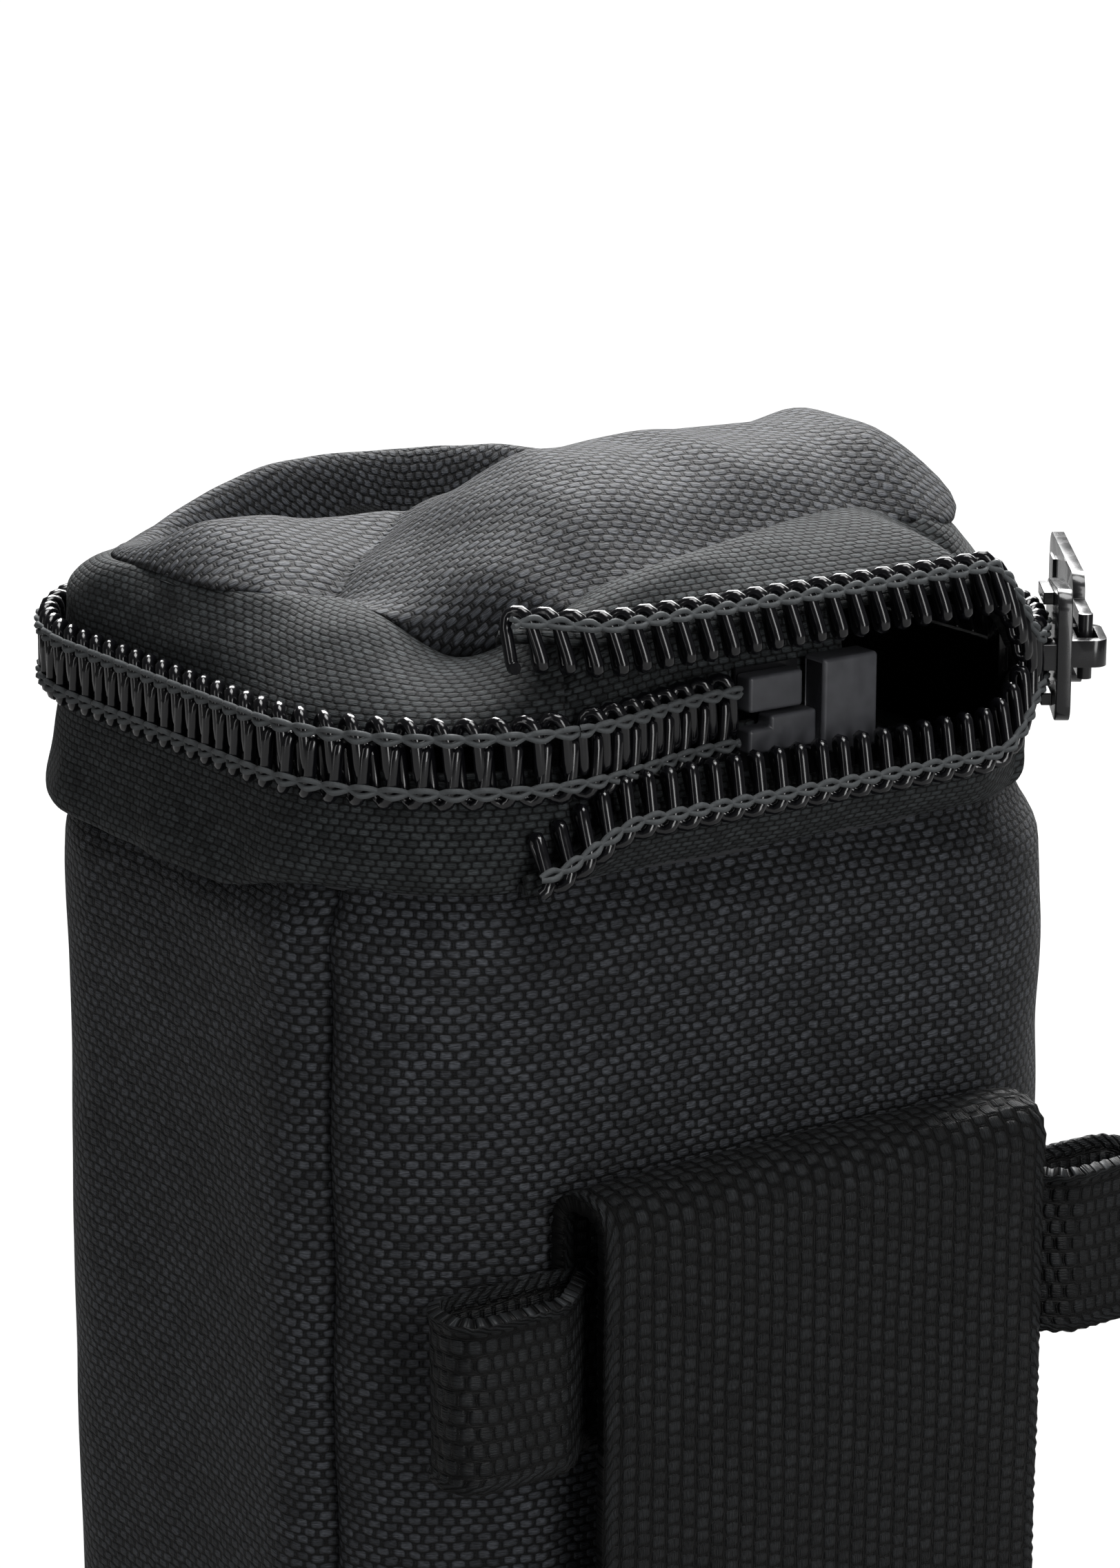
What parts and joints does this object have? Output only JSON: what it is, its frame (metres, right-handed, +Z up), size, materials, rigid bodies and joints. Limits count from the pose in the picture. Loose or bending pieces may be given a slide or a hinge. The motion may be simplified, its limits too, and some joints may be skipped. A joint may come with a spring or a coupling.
{
  "type": "padded zip pouch",
  "caption": "Small padded nylon pouch for camera and darkroom gear, with a zipped lid that hinges on the belt side, a wide webbing belt loop and a strap loop at each side of it.",
  "frame": {"origin": "centre of the base's outer face, on the surface that the pouch stands on", "axes": "+Z up through the lid, -Y out of the belt face, +X towards the corner where the zip slider rests"},
  "size_m": [0.1009, 0.0837, 0.147],
  "materials": {
    "pack_cloth": "coarse plain-weave nylon, matt black with a faint sheen on the yarns",
    "foam": "closed-cell foam",
    "lining": "fine black lining cloth",
    "board": "thin stiffener board",
    "binding": "woven binding tape",
    "zip_tape": "fine twill zip tape",
    "coil": "glossy black monofilament",
    "film": "glossy reinforcing film",
    "moulded": "satin dark grey moulding",
    "slider_metal": "black enamel",
    "spring_steel": "plain",
    "webbing": "ribbed black webbing",
    "thread": "bonded nylon thread"
  },
  "bodies": {
    "pouch_body": {"belt_panel": "pack_cloth", "wrap_panel": "pack_cloth", "belt_foam": "foam", "wrap_foam": "foam", "seam_allowance_left": "pack_cloth", "seam_allowance_right": "pack_cloth", "body_lining": "lining", "base_panel": "pack_cloth", "base_board": "board", "base_foam": "foam", "base_lining": "lining", "rim_binding": "binding", "lower_zip_tape": "zip_tape", "lower_coil": "coil", "start_tape_upper": "zip_tape", "upper_coil_start": "coil", "tape_end_film_lower": "film", "tape_end_film_upper": "film", "retainer_pin": "moulded", "insertion_pin": "moulded", "retainer_box": "moulded", "belt_loop_webbing": "webbing", "belt_loop_stitching": "thread", "strap_webbing": "webbing", "strap_bar_tacks": "thread"},
    "lid": {"lid_top_panel": "pack_cloth", "lid_foam": "foam", "lid_lining": "lining", "lid_seam_binding": "binding", "upper_zip_tape": "zip_tape", "upper_coil_open_end": "coil", "upper_coil_closed_run": "coil"},
    "zip_slider": {"slider_body": "slider_metal", "slider_crown": "slider_metal", "slider_lock_spring": "spring_steel"},
    "pull": {"pull_tab": "slider_metal"}
  },
  "joints": [
    {"name": "lid_hinge", "type": "hinge", "parent": "pouch_body", "child": "lid", "pos_m": [0, -0.038, 0.1265], "axis": [1, 0, 0], "range_deg": [0, 110]},
    {"name": "slider_travel", "type": "hinge", "parent": "pouch_body", "child": "zip_slider", "pos_m": [0.021, -0.016, 0.122], "axis": [0, 0, 1], "range_deg": [0, 35]},
    {"name": "pull_swing", "type": "hinge", "parent": "zip_slider", "child": "pull", "pos_m": [0.04164, -0.03045, 0.122], "axis": [0, 0, -1], "range_deg": [0, 150]}
  ]
}
